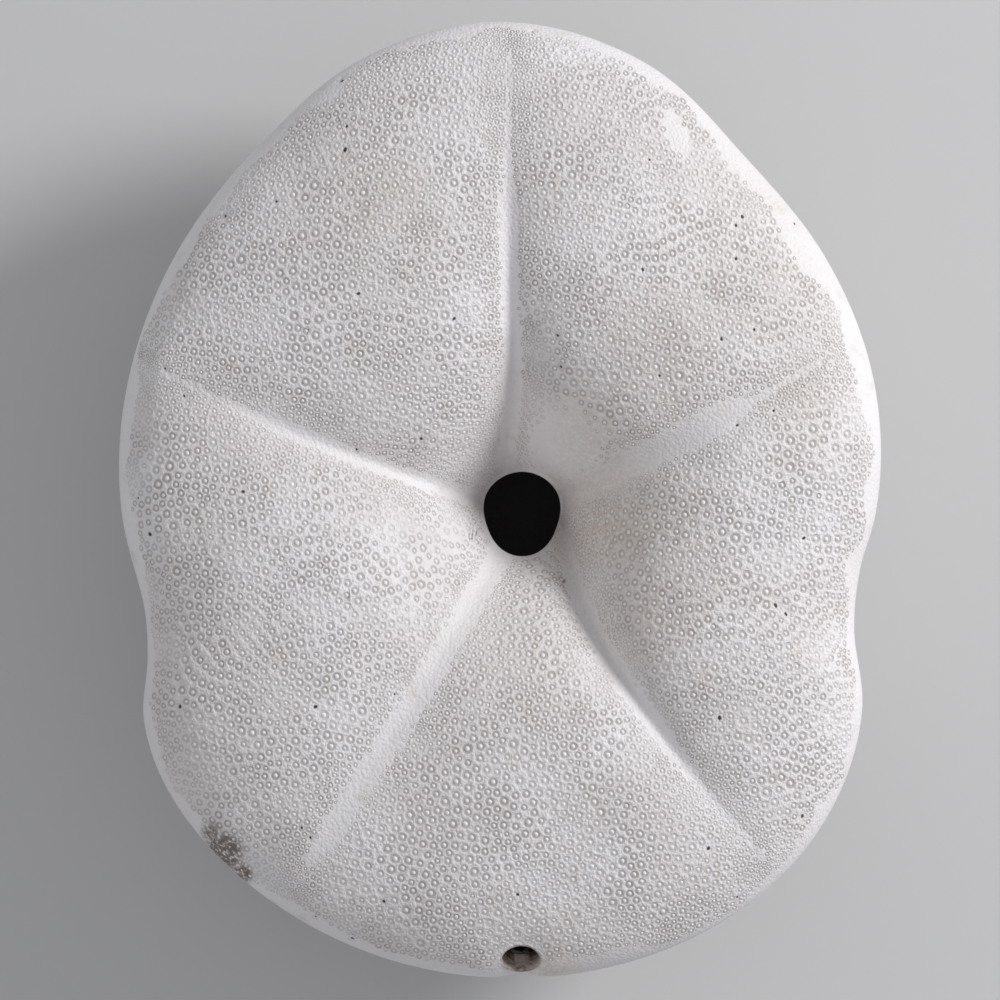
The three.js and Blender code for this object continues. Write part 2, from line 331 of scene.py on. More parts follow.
def spacing(points, heading, turn):
    """Distance between neighbouring tubercles, in millimetres: wide on the lobes, easing to close
    beside the grooves, and shortened by shares near the mouth and towards the edge."""
    radius = np.hypot(points[..., 0], points[..., 1])
    share = radius / outline(heading)
    nearest = groove_distance(heading, share, radius).min(-1)
    lobe = BESIDE_GROOVE_SPACING + LOBE_WIDENING * smooth_step(nearest, 1.0, 6.5)
    front_share = 0.5 + 0.5 * points[..., 1] / np.maximum(radius, 1)
    mouth_zone = 1 - 0.3 * front_share * np.exp(-((radius - MOUTH_RADIUS) / 6) ** 2)
    edge_zone = 1 - 0.2 * smooth_step(share, 0.86, 0.99)
    oral = lobe * mouth_zone * edge_zone * (1 + 0.06 * ripples(points, 9, 20, 3))
    dome = DOME_EDGE_SPACING + DOME_WIDENING * smooth_step(turn, 1.6, 1.9)
    return np.where(turn < math.pi / 2, oral, dome)


# Loose seeds: one to each seed's area, drawn from a fine grid of the skin's area
rng = np.random.default_rng(20)
grid_turn = np.interp(np.linspace(0, 1, 500), np.linspace(0, 1, len(profile_turn)), profile_turn)
grid_heading = np.linspace(0, TAU, 900, endpoint=False)
turn_grid, heading_grid = np.meshgrid(
    (grid_turn[1:] + grid_turn[:-1]) / 2, grid_heading, indexing="ij")
grid_points = skin(heading_grid, turn_grid)
slope_turn = skin(heading_grid, turn_grid + 1e-3) - grid_points
slope_heading = skin(heading_grid + 1e-3, turn_grid) - grid_points
cell_area = np.linalg.norm(np.cross(slope_turn, slope_heading), axis=-1) * 1e6 * (
    np.diff(grid_turn)[:, None] * (TAU / len(grid_heading)))
grid_radius = np.hypot(grid_points[..., 0], grid_points[..., 1])
cell_area = np.where((grid_radius < mouth_edge(heading_grid) + 1.0) & (turn_grid < 1), 0, cell_area)
cell_area = np.where((grid_radius < APEX_RADIUS + 0.4) & (turn_grid > 2), 0, cell_area)
share_of_seeds = cell_area / (HEXAGON_SHARE * spacing(grid_points, heading_grid, turn_grid) ** 2)
order = np.cumsum(share_of_seeds.ravel())
seed_count = int(order[-1])
picks = np.searchsorted(order, np.arange(seed_count) + rng.uniform(0, 1, seed_count))
picks = picks.clip(0, order.size - 1)
turn_steps = np.diff(grid_turn)[picks // len(grid_heading)]
pick_turn = turn_grid.ravel()[picks] + rng.uniform(-0.5, 0.5, seed_count) * turn_steps
pick_heading = heading_grid.ravel()[picks] + (
    rng.uniform(-0.5, 0.5, seed_count) * TAU / len(grid_heading))


def circle(count):
    """Headings of evenly spaced points round a full turn."""
    return np.arange(count) * (TAU / count)


def turn_at_radius(heading, radius):
    """Turn at which the mouth side has a given radius."""
    return np.arcsin(np.clip(radius / outline(heading), 0, 1) ** 2)


vent_turn = float(turn_at_radius(np.array([VENT_HEADING]), VENT_RADIUS)[0])
vent_centre = skin(np.array([VENT_HEADING]), np.array([vent_turn]))[0]
vent_place = to_map(np.array([VENT_HEADING]), np.array([vent_turn]))[0]
vent_scale = np.linalg.norm(vent_place) / VENT_RADIUS
vent_loop = vent_place + vent_scale * (VENT_WIDTH / 2 + VENT_BORDER) * np.stack(
    [np.cos(circle(VENT_POINTS)), np.sin(circle(VENT_POINTS))], -1)

mouth_headings = circle(MOUTH_POINTS)
mouth_loop = to_map(
    mouth_headings, turn_at_radius(mouth_headings, mouth_edge(mouth_headings) + LIP_RADIUS))


def dome_turn(radius):
    """Turn at which the dome's flat middle has a given radius."""
    return math.pi - np.arcsin((radius / DOME_RADIUS) ** (1 / DOME_POWER))


apex_loop = to_map(circle(APEX_POINTS), np.full(APEX_POINTS, dome_turn(APEX_RADIUS)))

# Five pores between the petals' inner ends: their middles first, and then a ring around each
gonopore_headings = PETAL_AXES + TAU / 10
gonopore_middles = GONOPORE_RADIUS * np.stack(
    [np.cos(gonopore_headings), np.sin(gonopore_headings)], -1)
rim_headings = circle(GONOPORE_RIM_POINTS)
gonopore_rims = gonopore_middles[:, None] + GONOPORE_WIDTH / 2 * np.stack(
    [np.cos(rim_headings), np.sin(rim_headings)], -1)
gonopore_places = np.concatenate([gonopore_middles, gonopore_rims.reshape(-1, 2)])
gonopores = to_map(np.arctan2(gonopore_places[:, 1], gonopore_places[:, 0]),
                   dome_turn(np.hypot(gonopore_places[:, 0], gonopore_places[:, 1])))


def crease_line(index):
    """Seeds along one groove's crease, closer than the tubercles, so that it stays a clean line."""
    end = GROOVE_REACHES[index].clip(0, 0.93) * outline(GROOVE_HEADINGS[index])
    radius = np.arange(7.0, end, CREASE_SPACING)
    share = radius / outline(GROOVE_HEADINGS[index])
    hook = GROOVE_HOOKS[index] * np.exp(-(radius - MOUTH_RADIUS) / HOOK_LENGTH)
    heading = GROOVE_HEADINGS[index] + GROOVE_BENDS[index] * (2 * share - 1) + hook
    return to_map(heading, turn_at_radius(heading, radius))


crease_seeds = np.concatenate([crease_line(index) for index in (0, 1, 2, 4)])
loose_seeds = to_map(pick_heading, pick_turn)
near_vent = np.linalg.norm(loose_seeds - vent_place, axis=1) < vent_scale * (VENT_WIDTH / 2 + 0.9)
loose_seeds = loose_seeds[~near_vent]

fixed = np.concatenate([mouth_loop, vent_loop, apex_loop, gonopores, crease_seeds])
FIXED = len(fixed)
MOUTH = slice(0, MOUTH_POINTS)
VENT = slice(MOUTH_POINTS, MOUTH_POINTS + VENT_POINTS)
APEX = slice(VENT.stop, VENT.stop + APEX_POINTS)
PORES = slice(APEX.stop, APEX.stop + GONOPORES)


def triangulate(seeds):
    """Triangles between neighbouring seeds, none of them across the mouth or the vent."""
    found = delaunay_2d_cdt([Vector(place) for place in seeds.tolist()], [], [], 0, 1e-9)
    triangles = np.array(found[2])
    low, high = triangles.min(1), triangles.max(1)
    inside = np.zeros(len(triangles), bool)
    for loop in (MOUTH, VENT):
        inside |= (low >= loop.start) & (high < loop.stop)
    return triangles[~inside]


def settle(seeds):
    """Each loose seed moves to the middle of its cell, weighted so that the spacing holds."""
    triangles = triangulate(seeds)
    corners = seeds[triangles]
    centres = corners.mean(1)
    edges = corners[:, 1:] - corners[:, :1]
    areas = np.abs(edges[:, 0, 0] * edges[:, 1, 1] - edges[:, 0, 1] * edges[:, 1, 0])
    heading, turn = from_map(centres)
    points = skin(heading, turn)
    gap = spacing(points, heading, turn) * np.linalg.norm(centres, axis=1) / np.hypot(
        points[:, 0], points[:, 1])
    weight = np.repeat(areas / gap ** 4, 3)
    owner = triangles.ravel()
    total = np.bincount(owner, weight, len(seeds))
    moved = np.stack([np.bincount(owner, weight * np.repeat(centres[:, axis], 3), len(seeds)) / total
                      for axis in (0, 1)], -1)
    moved[:FIXED] = seeds[:FIXED]
    return moved


def nearest_distance(seeds, triangles):
    """Length of the shortest triangle's side at each seed, in millimetres, and the spacing there."""
    heading, turn = from_map(seeds)
    points = skin(heading, turn)
    nearest = np.full(len(seeds), np.inf)
    for first, second in ((0, 1), (1, 2), (2, 0)):
        one, other = triangles[:, first], triangles[:, second]
        length = np.linalg.norm(points[one] - points[other], axis=1)
        np.minimum.at(nearest, one, length)
        np.minimum.at(nearest, other, length)
    return nearest, spacing(points, heading, turn)


def thin_out(seeds):
    """Takes out loose seeds that lie too close to a neighbour, one of each crowded pair."""
    nearest, gap = nearest_distance(seeds, triangulate(seeds))
    crowded = nearest < CROWDED_SHARE * gap
    crowded[:FIXED] = False
    crowded &= np.random.default_rng(5).uniform(size=len(seeds)) < 0.6
    return seeds[~crowded]


seeds = np.concatenate([fixed, loose_seeds])
for step in range(SETTLING_ROUNDS):
    seeds = settle(seeds)
    if step in THINNING_ROUNDS:
        seeds = thin_out(seeds)
triangles = triangulate(seeds)
nearest, _ = nearest_distance(seeds, triangles)

# ---------------------------------------------------------------------------------------------
# Cells of skin. Each tubercle stands in a sunken ring, the areole, and a network of raised skin
# runs between the rings. A cell has a corner in each triangle of seeds around it. On the mouth
# side it also has a rim point towards each corner, with the pit inside the rim.
# ---------------------------------------------------------------------------------------------
RIM_SHARE = 0.40
PIT_SHARE = 0.55
DOME_RIM_SHARE = 0.33
RIM_TO_NEIGHBOUR = 0.46
WEB_RISE = 0.05
SPECK_COUNT = 46
SPECK_DEPTH = 0.35
SPECK_FREE_RADIUS = 14
PITTED_PLACE = np.array([30.0, 36.0])
PITTED_REACH = 10
PITTED_FACTOR = 7
RUBBED_HEIGHT = 0.4
FLAT_UV = 3.0

seed_heading, seed_turn = from_map(seeds)
seed_points = skin(seed_heading, seed_turn)
seed_normals = normals(seed_heading, seed_turn)
bare = bareness(seed_points, seed_heading, seed_turn)
rng = np.random.default_rng(31)
loose = np.arange(len(seeds)) >= FIXED
mouth_side = seed_turn < math.pi / 2
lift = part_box("test")[1].z / MM - grid_points[..., 2].max()
rubbed = seed_points[:, 2] + lift < RUBBED_HEIGHT
studded = loose & ~rubbed & (bare < 0.5 + rng.uniform(-0.12, 0.12, len(seeds)))
can_speck = np.flatnonzero(mouth_side & loose & (np.hypot(*seed_points.T[:2]) > SPECK_FREE_RADIUS))
from_pitted = np.linalg.norm(seed_points[can_speck, :2] - PITTED_PLACE, axis=1) / PITTED_REACH
likely = 1 + PITTED_FACTOR * np.exp(-from_pitted ** 2)
speckled = rng.choice(can_speck, SPECK_COUNT, False, likely / likely.sum())
studded[speckled] = False
full = studded & mouth_side
gaps = spacing(seed_points, seed_heading, seed_turn)
worn = np.clip(0.5 + 0.5 * ripples(seed_points, 18, 50, 7), 0, 1)
rim = gaps * np.where(mouth_side, RIM_SHARE, DOME_RIM_SHARE) * (
    np.clip(rng.normal(1, 0.13, len(seeds)), 0.65, 1.3))
rim *= 1 - 0.45 * np.clip(bare / 0.5, 0, 1) ** 2
rim = np.minimum(rim, RIM_TO_NEIGHBOUR * nearest)
faint = np.clip(0.5 + 0.6 * ripples(seed_points, 5, 14, 8) + 0.5 * (worn - 0.5), 0, 1)
pit = rim * PIT_SHARE * np.clip(rng.normal(1, 0.15, len(seeds)), 0.55, 1.35) * (
    1 - 0.3 * faint ** 2)

corner_heading, corner_turn = from_map(seeds[triangles].mean(1))
corner_points = skin(corner_heading, corner_turn)

# One rim point for each corner of each triangle, from its seed towards the triangle's middle
owners = triangles.ravel()
towards = np.repeat(corner_points, 3, axis=0) - seed_points[owners]
towards /= np.linalg.norm(towards, axis=1, keepdims=True)
rim_points = seed_points[owners] + towards * rim[owners, None]

sink = np.where(studded, pit, 0)
sink[PORES] = GONOPORE_DEPTH
sink[speckled] = SPECK_DEPTH
centre_points = seed_points - seed_normals * sink[:, None]
corner_normals = normals(corner_heading, corner_turn)
corner_points = corner_points + corner_normals * (WEB_RISE * studded[triangles].all(1))[:, None]

first_corner = len(seeds)
first_rim = first_corner + len(triangles)
points = np.concatenate([centre_points, corner_points, rim_points])

# Each side of a triangle, with the triangle across it
side_from = owners
side_to = np.roll(triangles, -1, axis=1).ravel()
side_key = side_from.astype(np.int64) * len(seeds) + side_to
across_key = side_to.astype(np.int64) * len(seeds) + side_from
sorting = np.argsort(side_key)
found = np.searchsorted(side_key[sorting], across_key).clip(0, len(side_key) - 1)
across = sorting[found]
paired = side_key[across] == across_key
here = np.arange(len(side_key)) // 3
corner_here = first_corner + here
corner_across = first_corner + across // 3
rim_here = first_rim + np.arange(len(side_key))
rim_across = first_rim + across - across % 3 + (across % 3 + 1) % 3

in_full = paired & full[side_from]
in_plain = paired & ~full[side_from]
open_side = ~paired
faces = np.concatenate([
    np.stack([side_from, corner_across, corner_here], -1)[in_plain],
    np.stack([rim_across, corner_across, corner_here], -1)[in_full],
    np.stack([rim_across, corner_here, rim_here], -1)[in_full],
    np.stack([side_from, rim_across, rim_here], -1)[in_full],
    np.stack([side_from, side_to, corner_here], -1)[open_side],
])
face_owner = np.concatenate([
    side_from[in_plain], side_from[in_full], side_from[in_full], side_from[in_full],
    side_from[open_side]])


# ---------------------------------------------------------------------------------------------
# The wall's inside. The mouth's lip turns in over a small radius, the vent is a short tube through
# the back edge, and a plain inner face closes the shell, a wall's thickness in.
# ---------------------------------------------------------------------------------------------
INNER_COLUMNS = MOUTH_POINTS
INNER_CREASE_RADIUS = 3.0
VENT_DEPTHS = np.array([0.35, 1.2, 4.4])
VENT_FLARES = np.array([0.12, 0.0, 0.0])
VENT_CLEARANCE = 0.3
VENT_DIP, VENT_DIP_RADIUS = 0.5, 3.4
NOTCH_DEPTH, NOTCH_SIZE = 0.9, [1.7, 3.0, 4.0]
PORE_ROW_DEPTH = 0.4
DISC_RISE, DISC_RISE_RADIUS = 0.3, 2.0

lip = seed_points[MOUTH]
lip_inward = -lip * [1, 1, 0] / np.hypot(lip[:, 0], lip[:, 1])[:, None]
lip_shallow = lip + lip_inward * 0.7 * LIP_RADIUS + [0, 0, -0.3 * LIP_RADIUS]
lip_deep = lip + lip_inward * LIP_RADIUS + [0, 0, -LIP_RADIUS]

lip_step = np.linspace(0, 1, 8)[:, None] ** 2
inner_share = (mouth_edge(mouth_headings) + LIP_RADIUS) / (outline(mouth_headings) - WALL)
inner_start = np.arcsin(inner_share ** 2)
inner_turn = np.concatenate([
    inner_start + (math.pi / 2 - inner_start) * lip_step,
    np.repeat(math.pi - math.pi / 2 * np.linspace(1, 0, 9)[1:-1, None] ** 1.3, INNER_COLUMNS, axis=1)])
inner_heading = np.broadcast_to(mouth_headings, inner_turn.shape)
inner_points = skin(inner_heading, inner_turn, WALL, INNER_CREASE_RADIUS)
inner_rows = len(inner_turn)

vent_axis = np.array([
    math.cos(VENT_HEADING) * math.cos(VENT_TILT), math.sin(VENT_HEADING) * math.cos(VENT_TILT),
    math.sin(VENT_TILT)])
vent_rim = seed_points[VENT] - vent_centre
vent_axial = vent_rim @ vent_axis
vent_radial = vent_rim - vent_axial[:, None] * vent_axis
vent_reach = np.linalg.norm(vent_radial, axis=1, keepdims=True)
vent_radial /= vent_reach
vent_rings = [
    vent_centre + vent_radial * np.minimum(VENT_WIDTH / 2 + flare, vent_reach - VENT_CLEARANCE)
    + vent_axis * (vent_axial * math.exp(-depth / 2) - depth)[:, None]
    for depth, flare in zip(VENT_DEPTHS, VENT_FLARES)]

outer_apex = skin(np.zeros(1), np.full(1, math.pi))
inner_apex = skin(np.zeros(1), np.full(1, math.pi), WALL, INNER_CREASE_RADIUS)
blocks = [lip_shallow, lip_deep, *vent_rings, inner_points.reshape(-1, 3), outer_apex, inner_apex]
starts = len(points) + np.cumsum([0] + [len(block) for block in blocks])
inner_from = starts[5]


def band(near, far):
    """Triangles between two closed rings of equally many points, facing out where far is the outer
    one of two rings on the mouth side."""
    near_next, far_next = np.roll(near, -1), np.roll(far, -1)
    return np.concatenate([
        np.stack([near, far, far_next], -1), np.stack([near, far_next, near_next], -1)])


def fan(ring, centre):
    """Triangles from a closed ring to one point in its middle."""
    return np.stack([ring, np.full(len(ring), centre), np.roll(ring, -1)], -1)


def ring_of(start, count):
    """Numbers of a ring's points, which are stored one after another."""
    return np.arange(start, start + count)


mouth_ring = ring_of(MOUTH.start, MOUTH_POINTS)
vent_ring = ring_of(VENT.start, VENT_POINTS)
apex_ring = ring_of(APEX.start, APEX_POINTS)
lip_rings = [ring_of(start, MOUTH_POINTS) for start in starts[:2]]
tube_rings = [ring_of(start, VENT_POINTS) for start in starts[2:5]]
inner = inner_from + np.arange(inner_rows * INNER_COLUMNS).reshape(inner_rows, INNER_COLUMNS)

# The vent's tube opens into the inner face through a gap of two by two panels.
vent_end = vent_rings[-1].mean(0)
vent_column = INNER_COLUMNS * 3 // 4
vent_row = int(np.linalg.norm(inner_points[:, vent_column] - vent_end, axis=-1).argmin())
panel_row, panel_column = np.meshgrid(
    np.arange(inner_rows - 1), np.arange(INNER_COLUMNS), indexing="ij")
in_gap = (np.abs(panel_row + 0.5 - vent_row) < 1) & (np.abs(panel_column + 0.5 - vent_column) < 1)
panel_row, panel_column = panel_row[~in_gap], panel_column[~in_gap]
next_column = (panel_column + 1) % INNER_COLUMNS
inner_panels = np.concatenate([
    np.stack([inner[panel_row, panel_column], inner[panel_row + 1, next_column],
              inner[panel_row + 1, panel_column]], -1),
    np.stack([inner[panel_row, panel_column], inner[panel_row, next_column],
              inner[panel_row + 1, next_column]], -1)])
gap_rows = vent_row + np.array([1, 1, 0, -1, -1, -1, 0, 1])
gap_columns = vent_column + np.array([0, 1, 1, 1, 0, -1, -1, -1])
gap_ring = inner[gap_rows, gap_columns]
tube_end = np.roll(tube_rings[-1], -VENT_POINTS * 3 // 4)
thirds = np.arange(len(gap_ring)) * 3
before, middle, after = tube_end[thirds - 1], tube_end[thirds], tube_end[thirds + 1]
gap_next = np.roll(gap_ring, -1)
gap_joint = np.concatenate([
    np.stack([gap_ring, before, middle], -1), np.stack([gap_ring, middle, after], -1),
    np.stack([gap_ring, after, gap_next], -1), np.stack([gap_next, after, np.roll(before, -1)], -1)])

closing = np.concatenate([
    band(lip_rings[0], mouth_ring), band(lip_rings[1], lip_rings[0]), band(inner[0], lip_rings[1]),
    band(tube_rings[0], vent_ring), band(tube_rings[1], tube_rings[0]),
    band(tube_rings[2], tube_rings[1]), gap_joint, inner_panels,
    fan(apex_ring, starts[6]), fan(inner[-1], starts[7])[:, ::-1]])

outer_count = len(points)
points = np.concatenate([points, *blocks])
faces = np.concatenate([faces, closing])
face_owner = np.concatenate([face_owner, np.full(len(closing), -1)])

# Slow swells of the grown plates, and a shallow dip around the vent
point_normals = np.zeros_like(points)
point_normals[:outer_count] = np.concatenate([seed_normals, corner_normals, seed_normals[owners]])
apex_middle = starts[6]
point_normals[apex_middle] = [0, 0, -1]
swell = 0.05 * ripples(points, 5, 11, 11) + 0.12 * ripples(points, 16, 34, 12)
dip = VENT_DIP * np.exp(-(np.linalg.norm(points - vent_centre, axis=1) / VENT_DIP_RADIUS) ** 2)
notch_place = outline(np.array(VENT_HEADING)) * np.array(
    [math.cos(VENT_HEADING), math.sin(VENT_HEADING), 0])
dip += NOTCH_DEPTH * np.exp(-(np.linalg.norm((points - notch_place) / NOTCH_SIZE, axis=1)) ** 2)
local_heading = np.arctan2(points[:, 1], points[:, 0])
local_radius = np.hypot(points[:, 0], points[:, 1])
local_turn = np.concatenate([
    seed_turn, corner_turn, seed_turn[owners], np.ones(len(points) - outer_count)])
local_turn[apex_middle] = math.pi
on_dome = local_turn > math.pi / 2
pore_depth, pore_along = pore_rows(local_heading, local_radius)
pore_depth = np.where(on_dome, pore_depth, 0)
disc_rise = np.where(on_dome, DISC_RISE * np.exp(-(local_radius / DISC_RISE_RADIUS) ** 4), 0)
bare_here = bareness(points, local_heading, local_turn)
swell *= smooth_step(np.abs(local_turn - math.pi / 2), 0.0, 0.5)
raised = swell - dip - PORE_ROW_DEPTH * pore_depth + disc_rise
points = points + point_normals * raised[:, None]

# The outline's box is centred on the CAD box, and the crown reaches its top.
box_low, box_high = (np.array(corner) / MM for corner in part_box("test"))
round_heading = circle(3600)
round_outline = outline(round_heading)[:, None] * np.stack(
    [np.cos(round_heading), np.sin(round_heading)], -1)
plan_middle = (round_outline.min(0) + round_outline.max(0)) / 2
mouth_at = (box_low[:2] + box_high[:2]) / 2 - plan_middle
place = np.array([mouth_at[0], mouth_at[1], lift])
points = points + place
points[:, 2] = np.maximum(points[:, 2], box_low[2])

used = np.unique(faces)
renumber = np.full(len(points), -1)
renumber[used] = np.arange(len(used))


def make_mesh(name, vertices, triangles):
    """Mesh object of triangles, from whole arrays, with its place in its vertices in metres."""
    mesh = bpy.data.meshes.new(name)
    mesh.vertices.add(len(vertices))
    mesh.vertices.foreach_set("co", (vertices * MM).astype(np.float32).ravel())
    mesh.loops.add(triangles.size)
    mesh.loops.foreach_set("vertex_index", triangles.astype(np.int32).ravel())
    mesh.polygons.add(len(triangles))
    mesh.polygons.foreach_set("loop_start", np.arange(0, triangles.size, 3, dtype=np.int32))
    mesh.polygons.foreach_set("use_smooth", np.full(len(triangles), True))
    mesh.update(calc_edges=True)
    piece = bpy.data.objects.new(name, mesh)
    bpy.context.scene.collection.objects.link(piece)
    return piece


test = make_mesh("shell", points[used], renumber[faces])

# ---------------------------------------------------------------------------------------------
# The shell's surface: bleached white calcite with beige patches, darkest on the funnel wall right of
# the mouth,
# and one brown stain, and painted shade: grey in the rings and the pore slits, dark brown in the pits
# and pores, nearly black on the inner face. Each mark is a number kept at the vertices, which the
# material reads.
# ---------------------------------------------------------------------------------------------

# Each cell's own flat coordinates, in rims from its seed, for the ring around its tubercle
tangent = np.cross(seed_normals, [0.31, 0.17, 0.93])
tangent /= np.linalg.norm(tangent, axis=1, keepdims=True)
bitangent = np.cross(seed_normals, tangent)
loop_vertices = faces.ravel()
has_owner = np.repeat(face_owner, 3) >= 0
loop_owner = np.repeat(face_owner, 3).clip(0)
has_ring = has_owner & studded[loop_owner]
from_seed = points[loop_vertices] - place - seed_points[loop_owner]
ring_uv = np.stack([(from_seed * tangent[loop_owner]).sum(-1),
                    (from_seed * bitangent[loop_owner]).sum(-1)], -1) / rim[loop_owner, None]
ring_uv[~has_ring] = FLAT_UV
layer = test.data.uv_layers.new(name="areoles")
layer.data.foreach_set("uv", ring_uv.astype(np.float32).ravel())


def store(piece, name, values):
    """Keeps one number for each vertex under a name that the material reads."""
    attribute = piece.data.attributes.new(name, "FLOAT", "POINT")
    attribute.data.foreach_set("value", values.astype(np.float32))


store(test, "bare", bare_here[used])
tube_from, tube_to = starts[2], starts[5]
store(test, "tube", (used >= tube_from) & (used < tube_to))
# Marks the inner face, which carries painted shade
store(test, "inside", (used >= tube_to) & (used != apex_middle))
store(test, "pore_row", pore_depth[used])
store(test, "pore_run", pore_along[used])

# Brown stains and beige spots on the mouth side: place from the mouth's axis, radius, and strength of
# brown and of beige
STAINS = np.array([
    [-37.5, -42.5, 2.6, 1.0, 0.0],
    [-35.2, -45.2, 1.7, 0.8, 0.0],
    [-39.0, -40.0, 1.6, 0.7, 0.0],
    [-16.6, 39.4, 5.0, 0.0, 0.5],
    [18.6, 22.0, 6.0, 0.0, 0.4],
    [34.9, 14.2, 4.5, 0.0, 0.5],
    [3.5, -57.8, 3.5, 0.0, 0.7],
    # The next three beige spots make the funnel wall right of the mouth, which faces away from the key
    # lamp, darker and browner
    [11.0, -1.5, 8.0, 0.0, 0.95],
    [15.0, -12.0, 7.0, 0.0, 0.5],
    [9.5, 9.0, 7.0, 0.0, 0.5],
    [28.0, 32.0, 11.0, 0.0, 0.25],
    [2.0, -14.0, 8.0, 0.0, 0.2],
])


def stain(points, column):
    """Strength of one kind of stain: bell-shaped spots, the strongest one at each place. Below the
    widest line the drop down the side counts as distance too."""
    drop = DOME_DEPTH * np.maximum(local_turn - math.pi / 2, 0)
    spread = np.linalg.norm(points[:, None, :2] - STAINS[None, :, :2], axis=-1)
    away = np.hypot(spread, drop[:, None]) / STAINS[:, 2]
    return (STAINS[:, column] * np.exp(-away ** 2)).max(-1)


local = points - place
store(test, "brown", stain(local, 3)[used])
store(test, "beige", stain(local, 4)[used])
# The sunken pits and the five pores are painted dark, as the shade inside them
painted_pit_shade = np.zeros(len(points))
painted_pit_shade[speckled] = 1
painted_pit_shade[PORES] = 1
store(test, "painted_pit_shade", painted_pit_shade[used])
faint_here = 0.5 + 0.6 * ripples(local, 5, 14, 8) + 0.25 * ripples(local, 18, 50, 7)
store(test, "faint", np.clip(faint_here, 0, 1)[used])


class Nodes:
    """Adds shader nodes to one material and links them from left to right."""

    def __init__(self, name, roughness):
        self.material = bpy.data.materials.new(name)
        self.material.use_nodes = True
        self.tree = self.material.node_tree
        self.shader = self.tree.nodes["Principled BSDF"]
        self.shader.inputs["Roughness"].default_value = roughness
        self.place = self.add("ShaderNodeTexCoord").outputs["Object"]

    def add(self, kind, **settings):
        node = self.tree.nodes.new(kind)
        for name, value in settings.items():
            setattr(node, name, value)
        return node

    def set(self, socket, value):
        """Links a socket to another one, or gives it a value."""
        if isinstance(value, bpy.types.NodeSocket):
            self.tree.links.new(value, socket)
        else:
            socket.default_value = value

    def attribute(self, name):
        return self.add("ShaderNodeAttribute", attribute_name=name).outputs["Fac"]

    def math(self, operation, first, second=0.0, third=0.0):
        node = self.add("ShaderNodeMath", operation=operation)
        for socket, value in zip(node.inputs, (first, second, third)):
            self.set(socket, value)
        return node.outputs[0]

    def step(self, value, start, end, low=0.0, high=1.0):
        """Cubic ease of a value, from low at start to high at end."""
        node = self.add("ShaderNodeMapRange", interpolation_type="SMOOTHSTEP")
        for socket, number in zip(node.inputs, (value, start, end, low, high)):
            self.set(socket, number)
        return node.outputs[0]

    def noise(self, size, detail=3.0, roughness=0.5):
        """Noise from 0 to 1 with features of a size in millimetres."""
        node = self.add("ShaderNodeTexNoise")
        self.set(node.inputs["Vector"], self.place)
        node.inputs["Scale"].default_value = 1 / (size * MM)
        node.inputs["Detail"].default_value = detail
        node.inputs["Roughness"].default_value = roughness
        return node.outputs["Fac"]

    def mix(self, share, first, second):
        """Mixes two colours by a share. The node's colour sockets are its sixth and seventh inputs,
        counted from 0, and its output 2."""
        node = self.add("ShaderNodeMix", data_type="RGBA")
        for socket, value in zip((0, 6, 7), (share, first, second)):
            self.set(node.inputs[socket], value)
        return node.outputs[2]

    def bump(self, height, distance, below=None):
        """Bump of a height from 0 to 1 times a distance in millimetres."""
        node = self.add("ShaderNodeBump")
        node.inputs["Strength"].default_value = 1.0
        node.inputs["Distance"].default_value = distance * MM
        self.set(node.inputs["Height"], height)
        if below is not None:
            self.set(node.inputs["Normal"], below)
        return node.outputs["Normal"]


WHITE = (0.76, 0.725, 0.73, 1)
COOL_WHITE = (0.82, 0.80, 0.815, 1)
# Grey painted shade for the sunken rings and the pore slits
RECESS_PAINTED_SHADE = (0.45, 0.42, 0.41, 1)
BEIGE = (0.60, 0.50, 0.40, 1)
BROWN = (0.13, 0.085, 0.065, 1)
# Near black painted shade for the pits and pores
PIT_PAINTED_SHADE = (0.07, 0.05, 0.045, 1)
# Near black painted shade for the inner face
INSIDE_PAINTED_SHADE = (0.07, 0.06, 0.055, 1)
TUBE_BEIGE = (0.55, 0.46, 0.41, 1)

calcite = Nodes("bleached calcite", 0.62)
ring_place = calcite.add("ShaderNodeUVMap", uv_map="areoles").outputs["UV"]
ring_length = calcite.add("ShaderNodeVectorMath", operation="LENGTH")
calcite.set(ring_length.inputs[0], ring_place)
from_boss = ring_length.outputs["Value"]
moat = calcite.math(
    "MULTIPLY", calcite.step(from_boss, 0.4, 0.64), calcite.step(from_boss, 1.1, 0.85))
bare_fade = calcite.step(calcite.attribute("bare"), 0.15, 0.55)
broad = calcite.noise(14.0, 2.0)
patchy = calcite.noise(3.0, 3.0)
fine = calcite.noise(0.16, 2.0, 0.6)
gritty = calcite.noise(0.5, 3.0, 0.6)

# Painted shade: the sunken ring round each tubercle is greyed, patchy by noise and weaker where the
# tubercles are faint
painted_moat_shade = calcite.math("MULTIPLY", moat, calcite.step(patchy, 0.25, 0.75, 0.5, 1.0))
faint_share = calcite.step(calcite.attribute("faint"), 0.3, 1.0, 1.0, 0.5)
painted_moat_shade = calcite.math("MULTIPLY", painted_moat_shade, faint_share)
colour = calcite.mix(calcite.step(broad, 0.35, 0.65), WHITE, COOL_WHITE)
colour = calcite.mix(calcite.math("MULTIPLY", bare_fade, 0.6), colour, COOL_WHITE)
colour = calcite.mix(calcite.math("MULTIPLY", calcite.step(patchy, 0.58, 0.8), 0.35), colour, BEIGE)
colour = calcite.mix(painted_moat_shade, colour, RECESS_PAINTED_SHADE)
beige_share = calcite.math(
    "MULTIPLY", calcite.attribute("beige"), calcite.step(gritty, 0.3, 0.6))
brown_share = calcite.math(
    "MULTIPLY", calcite.step(calcite.attribute("brown"), 0.15, 0.7), calcite.step(gritty, 0.28, 0.55))
colour = calcite.mix(calcite.math("MULTIPLY", beige_share, 0.8), colour, BEIGE)
